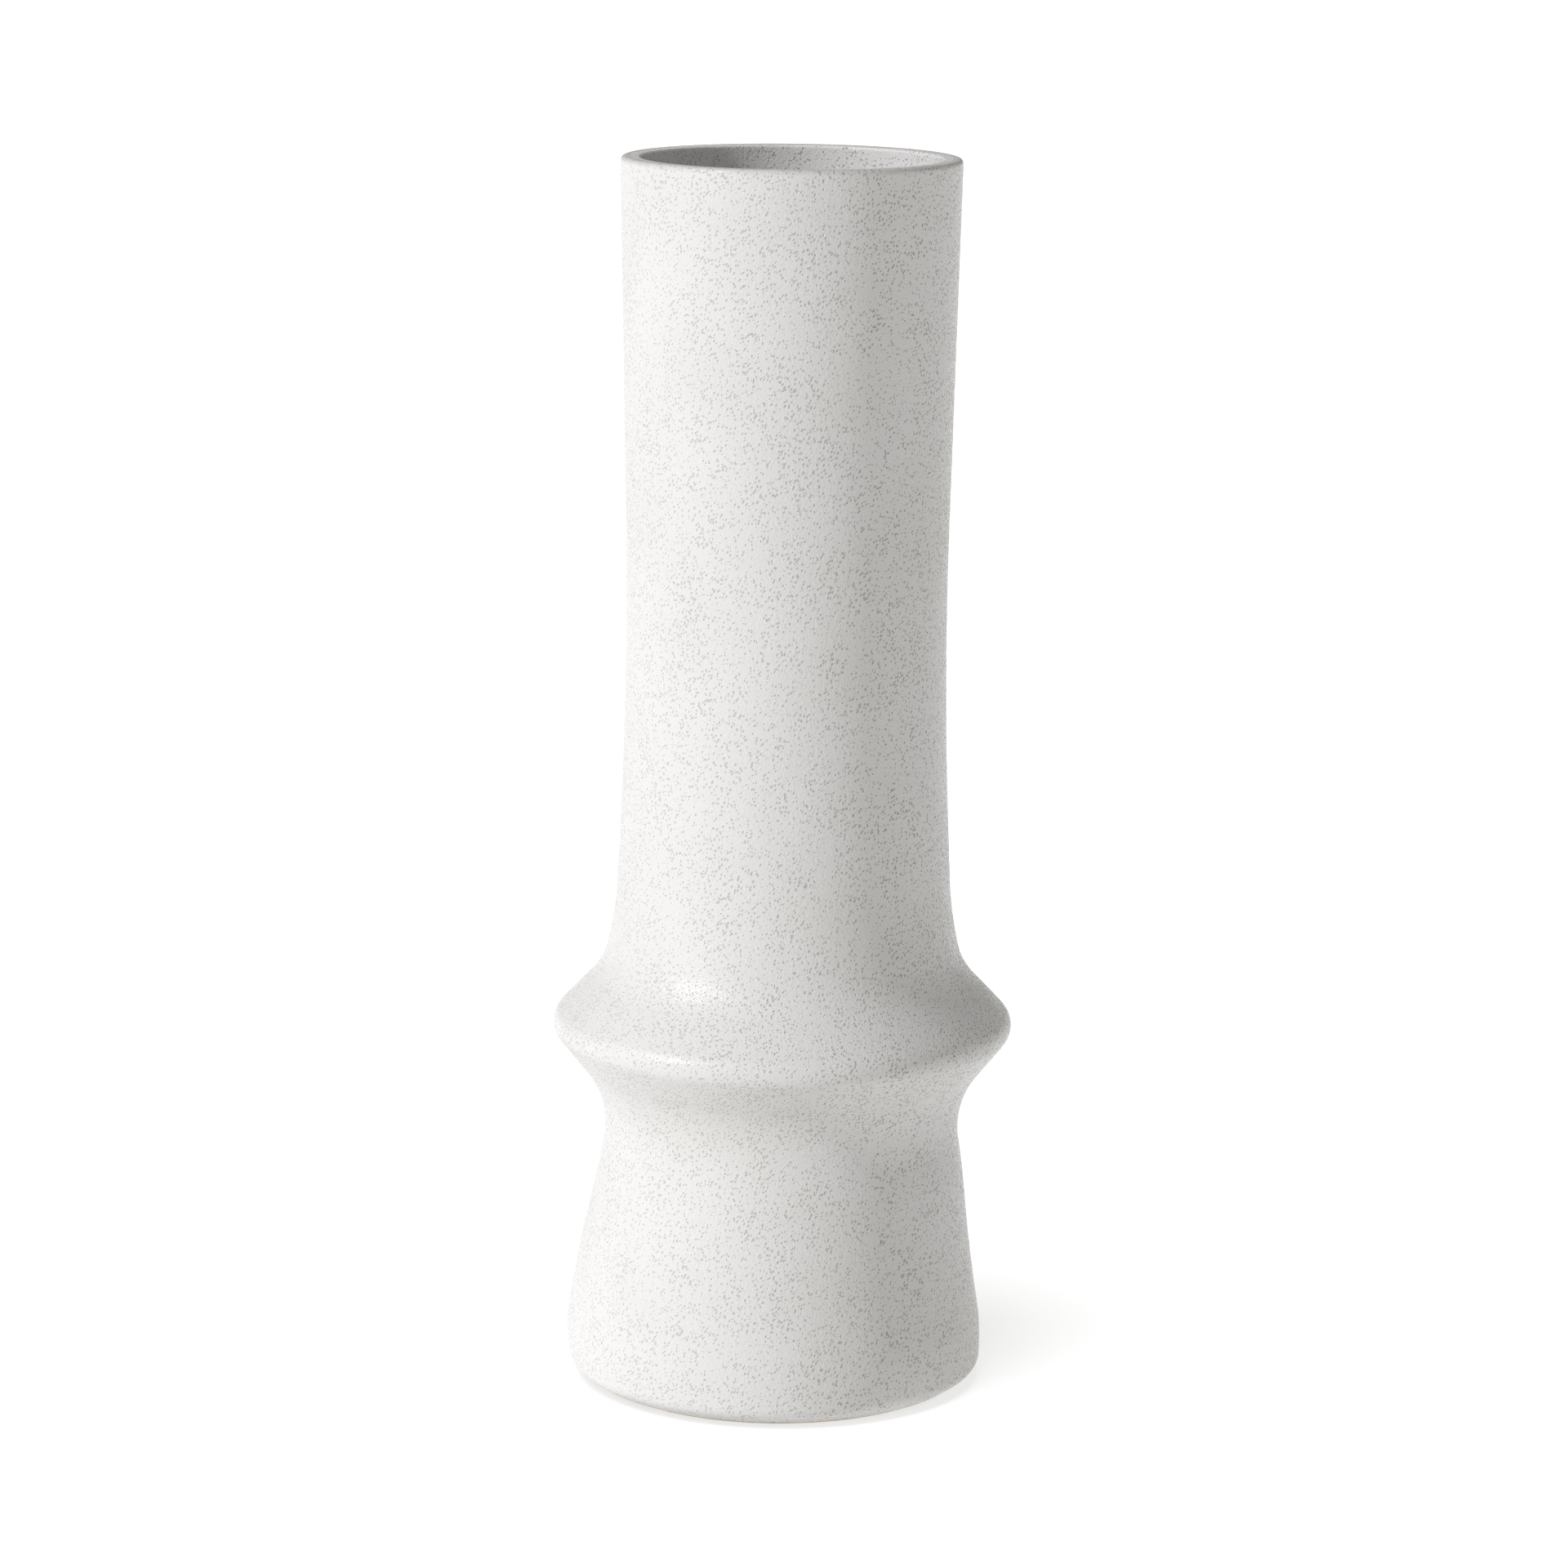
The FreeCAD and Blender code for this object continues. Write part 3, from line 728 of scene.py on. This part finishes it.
class VASE_OT_outer_glaze(bpy.types.Operator):
    """Outer coat of glaze, from the bare band at the foot to the crest of the lip"""

    bl_idname = "vase.outer_glaze"
    bl_label = "Outer glaze"

    def execute(self, context):
        size = sizes()
        names = ("foot", "heel") + WALL
        crest = np.pi / 2
        skin = squared_lip(cut(outline(names, 0.0, -crest, crest), size.bare_band))
        backing = cut(outline(names, size.glaze, -crest, crest), size.bare_band)
        loop = np.concatenate([skin, coarser(backing)[::-1]])
        piece = turned_ring("outer_glaze_coat", loop)
        glaze = satin_speckled_glaze("satin_speckled_glaze", strength=1.0, breaking=0.5)
        seat(piece, glaze, "satin_glaze", "glaze_outside")
        return {"FINISHED"}


class VASE_OT_inner_glaze(bpy.types.Operator):
    """Inner coat of glaze, from the crest of the lip down over the floor"""

    bl_idname = "vase.inner_glaze"
    bl_label = "Inner glaze"

    def execute(self, context):
        size = sizes()
        names = ("coil",) + WALL
        crest = -np.pi / 2
        bare = outline(names, size.glaze + size.clay, crest, crest)
        skin = squared_lip(outline(names, 2 * size.glaze + size.clay, crest, crest))
        middle = np.array([[0.0, bare[0, 1]]])
        loop = np.concatenate([middle, coarser(bare), skin[::-1],
                               middle + [[0.0, size.glaze]]])
        piece = turned_with_poles("inner_glaze_coat", loop)
        glaze = satin_speckled_glaze("satin_poured_glaze", strength=1.2, breaking=0.0)
        seat(piece, glaze, "satin_glaze", "glaze_inside")
        return {"FINISHED"}


class VASE_OT_bare_foot(bpy.types.Operator):
    """Bare foot ring and floor, whose turned underside stays unglazed"""

    bl_idname = "vase.bare_foot"
    bl_label = "Bare foot"

    def execute(self, context):
        tint = colours()
        clay = bare_stoneware("turned_bare_stoneware", tint.clay, tint.clay_dark,
                              TURNED_STEP)
        for node in ("foot_ring", "floor_disc"):
            seat(thrown_copy(node), clay, "bare_stoneware", node)
        return {"FINISHED"}


class VASE_OT_clay_wall(bpy.types.Operator):
    """Thrown wall sections and the inside coil, which the glaze covers"""

    bl_idname = "vase.clay_wall"
    bl_label = "Clay wall"

    def execute(self, context):
        tint = colours()
        clay = bare_stoneware("thrown_stoneware", tint.clay, tint.clay_dark, THROWN_STEP)
        for node in HIDDEN_CLAY:
            seat(thrown_copy(node), clay, "bare_stoneware", node)
        return {"FINISHED"}


class VASE_OT_joint_slip(bpy.types.Operator):
    """Layers of slip in the luted joints"""

    bl_idname = "vase.joint_slip"
    bl_label = "Joint slip"

    def execute(self, context):
        tint = colours()
        slip = bare_stoneware("fired_slip", tint.slip, tint.clay_dark, THROWN_STEP)
        for node in SLIP_LAYERS:
            seat(thrown_copy(node), slip, "joint_slip", node)
        return {"FINISHED"}


def thrown_copy(node):
    """A copy of a CAD node's mesh, merged and strayed like the wall that it is in."""
    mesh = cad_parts[node].data.copy()
    mesh.materials.clear()
    merge_doubles(mesh)
    points = np.empty(len(mesh.vertices) * 3, np.float32)
    mesh.vertices.foreach_get("co", points)
    moved = strayed(points.reshape(-1, 3).astype(float))
    mesh.vertices.foreach_set("co", moved.astype(np.float32).ravel())
    return shaded_piece(node + "_clay", mesh)


def merge_doubles(mesh):
    """Joins the loose corners of a tessellated mesh."""
    work = bmesh.new()
    work.from_mesh(mesh)
    bmesh.ops.remove_doubles(work, verts=work.verts, dist=SAME_POINT)
    work.to_mesh(mesh)
    work.free()


class VASE_OT_stage(bpy.types.Operator):
    """Pale table, soft studio light and the camera"""

    bl_idname = "vase.stage"
    bl_label = "Stage"

    def execute(self, context):
        self.lay_floor()
        self.light()
        self.place_camera(context.scene)
        context.scene.view_settings.view_transform = "Standard"
        return {"FINISHED"}

    def lay_floor(self):
        """A flat square table with the vase at its middle."""
        half = TABLE_HALF
        corners = [(-half, -half, 0), (half, -half, 0), (half, half, 0), (-half, half, 0)]
        mesh = bpy.data.meshes.new("floor")
        mesh.from_pydata(corners, [], [(0, 1, 2, 3)])
        mesh.materials.append(opal_table())
        floor = bpy.data.objects.new("floor", mesh)
        bpy.context.scene.collection.objects.link(floor)
        only_on("lit_floor").objects.link(floor)

    def light(self):
        """A compact key from the left and a broad one overhead, on the vase alone.

        The floor has a broad light of its own, so that the vase only shades it faintly.
        An even pale surround fills the rest.
        """
        vase, floor = only_on("lit_vase"), only_on("lit_floor")
        white, key = to_linear(WHITE), colours().key_light
        self.sun("key", vase, key, height=27, left=62, strength=3.25, width=7)
        self.sun("overhead", vase, white, height=70, left=60, strength=0.35, width=60)
        self.sun("table_wash", floor, white, height=66, left=36, strength=3.3, width=40)
        world = bpy.data.worlds.new("studio")
        world.use_nodes = True
        sky = world.node_tree.nodes["Background"]
        sky.inputs["Color"].default_value = colours().surround
        sky.inputs["Strength"].default_value = SURROUND_STRENGTH
        bpy.context.scene.world = world

    def sun(self, name, receivers, tint, height, left, strength, width):
        """A distant light on one collection, tinted, with its strength in watts per m2.

        Its height, its turn to the left of the front and its width are in degrees.
        """
        up, turn = np.radians(height), np.radians(left)
        towards = Vector((-np.cos(up) * np.sin(turn), -np.cos(up) * np.cos(turn), np.sin(up)))
        lamp = bpy.data.lights.new(name, "SUN")
        lamp.energy = strength
        lamp.color = tint[:3]
        lamp.angle = np.radians(width)
        holder = bpy.data.objects.new(name, lamp)
        holder.rotation_euler = towards.to_track_quat("Z", "Y").to_euler()
        holder.light_linking.receiver_collection = receivers
        bpy.context.scene.collection.objects.link(holder)

    def place_camera(self, scene):
        """Puts the camera in front, looking down a little and rolled very slightly."""
        camera = bpy.data.cameras.new("camera")
        camera.sensor_width = CAMERA_SENSOR
        camera.lens = CAMERA_LENS
        camera.clip_end = CAMERA_SIGHT
        holder = bpy.data.objects.new("camera", camera)
        holder.matrix_world = (Matrix.Translation(CAMERA_PLACE)
                               @ Matrix.Rotation(np.radians(90 - CAMERA_DOWN), 4, "X")
                               @ Matrix.Rotation(np.radians(CAMERA_ROLL), 4, "Z"))
        scene.collection.objects.link(holder)
        scene.camera = holder


OPERATORS = (VASE_OT_outer_glaze, VASE_OT_inner_glaze, VASE_OT_bare_foot,
             VASE_OT_clay_wall, VASE_OT_joint_slip, VASE_OT_stage)


class VASE_PT_panel(bpy.types.Panel):
    """Lists the steps of the build and the sizes and colours that they use"""

    bl_idname = "VASE_PT_panel"
    bl_label = "Stoneware Vase"
    bl_space_type = "VIEW_3D"
    bl_region_type = "UI"
    bl_category = "Vase"

    def draw(self, context):
        for step in OPERATORS:
            self.layout.operator(step.bl_idname)
        for group in (context.scene.vase_sizes, context.scene.vase_colours):
            for name in group.bl_rna.properties.keys():
                if name not in ("name", "rna_type"):
                    self.layout.prop(group, name)


CLASSES = (VaseSizes, VaseColours, *OPERATORS, VASE_PT_panel)


def register():
    """Registers the classes and gives the scene its sizes and colours."""
    for item in CLASSES:
        bpy.utils.register_class(item)
    bpy.types.Scene.vase_sizes = bpy.props.PointerProperty(type=VaseSizes)
    bpy.types.Scene.vase_colours = bpy.props.PointerProperty(type=VaseColours)


def unregister():
    """Undoes what register does, in the opposite order."""
    del bpy.types.Scene.vase_colours
    del bpy.types.Scene.vase_sizes
    for item in reversed(CLASSES):
        bpy.utils.unregister_class(item)


def main():
    register()
    bpy.ops.vase.outer_glaze()
    bpy.ops.vase.inner_glaze()
    bpy.ops.vase.bare_foot()
    bpy.ops.vase.clay_wall()
    bpy.ops.vase.joint_slip()
    bpy.ops.vase.stage()


if __name__ == "__main__":
    main()
